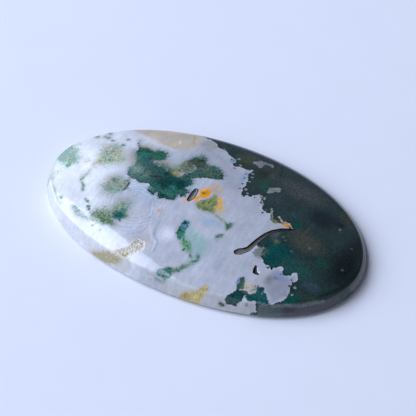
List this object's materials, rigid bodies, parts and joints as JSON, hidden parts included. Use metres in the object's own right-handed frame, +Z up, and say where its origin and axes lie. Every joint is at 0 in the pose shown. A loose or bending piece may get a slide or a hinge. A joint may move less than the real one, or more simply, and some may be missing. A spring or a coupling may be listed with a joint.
{
  "type": "moss agate cabochon",
  "caption": "Polished oval moss agate cabochon: a flat back, a steep wall and a low dome, milky white with green moss and a dark green end.",
  "frame": {"origin": "on the flat back, in the middle of the oval's box", "axes": "+X along the long axis towards the stone's dark green end, +Y across the oval towards the pale banded side, +Z up out of the flat back through the dome"},
  "size_m": [0.0378, 0.0232, 0.004],
  "materials": {
    "polished_agate": "polished, milky white chalcedony with green moss inclusions and a dark green end"
  },
  "bodies": {
    "root": {"cabochon": "polished_agate"}
  },
  "joints": []
}
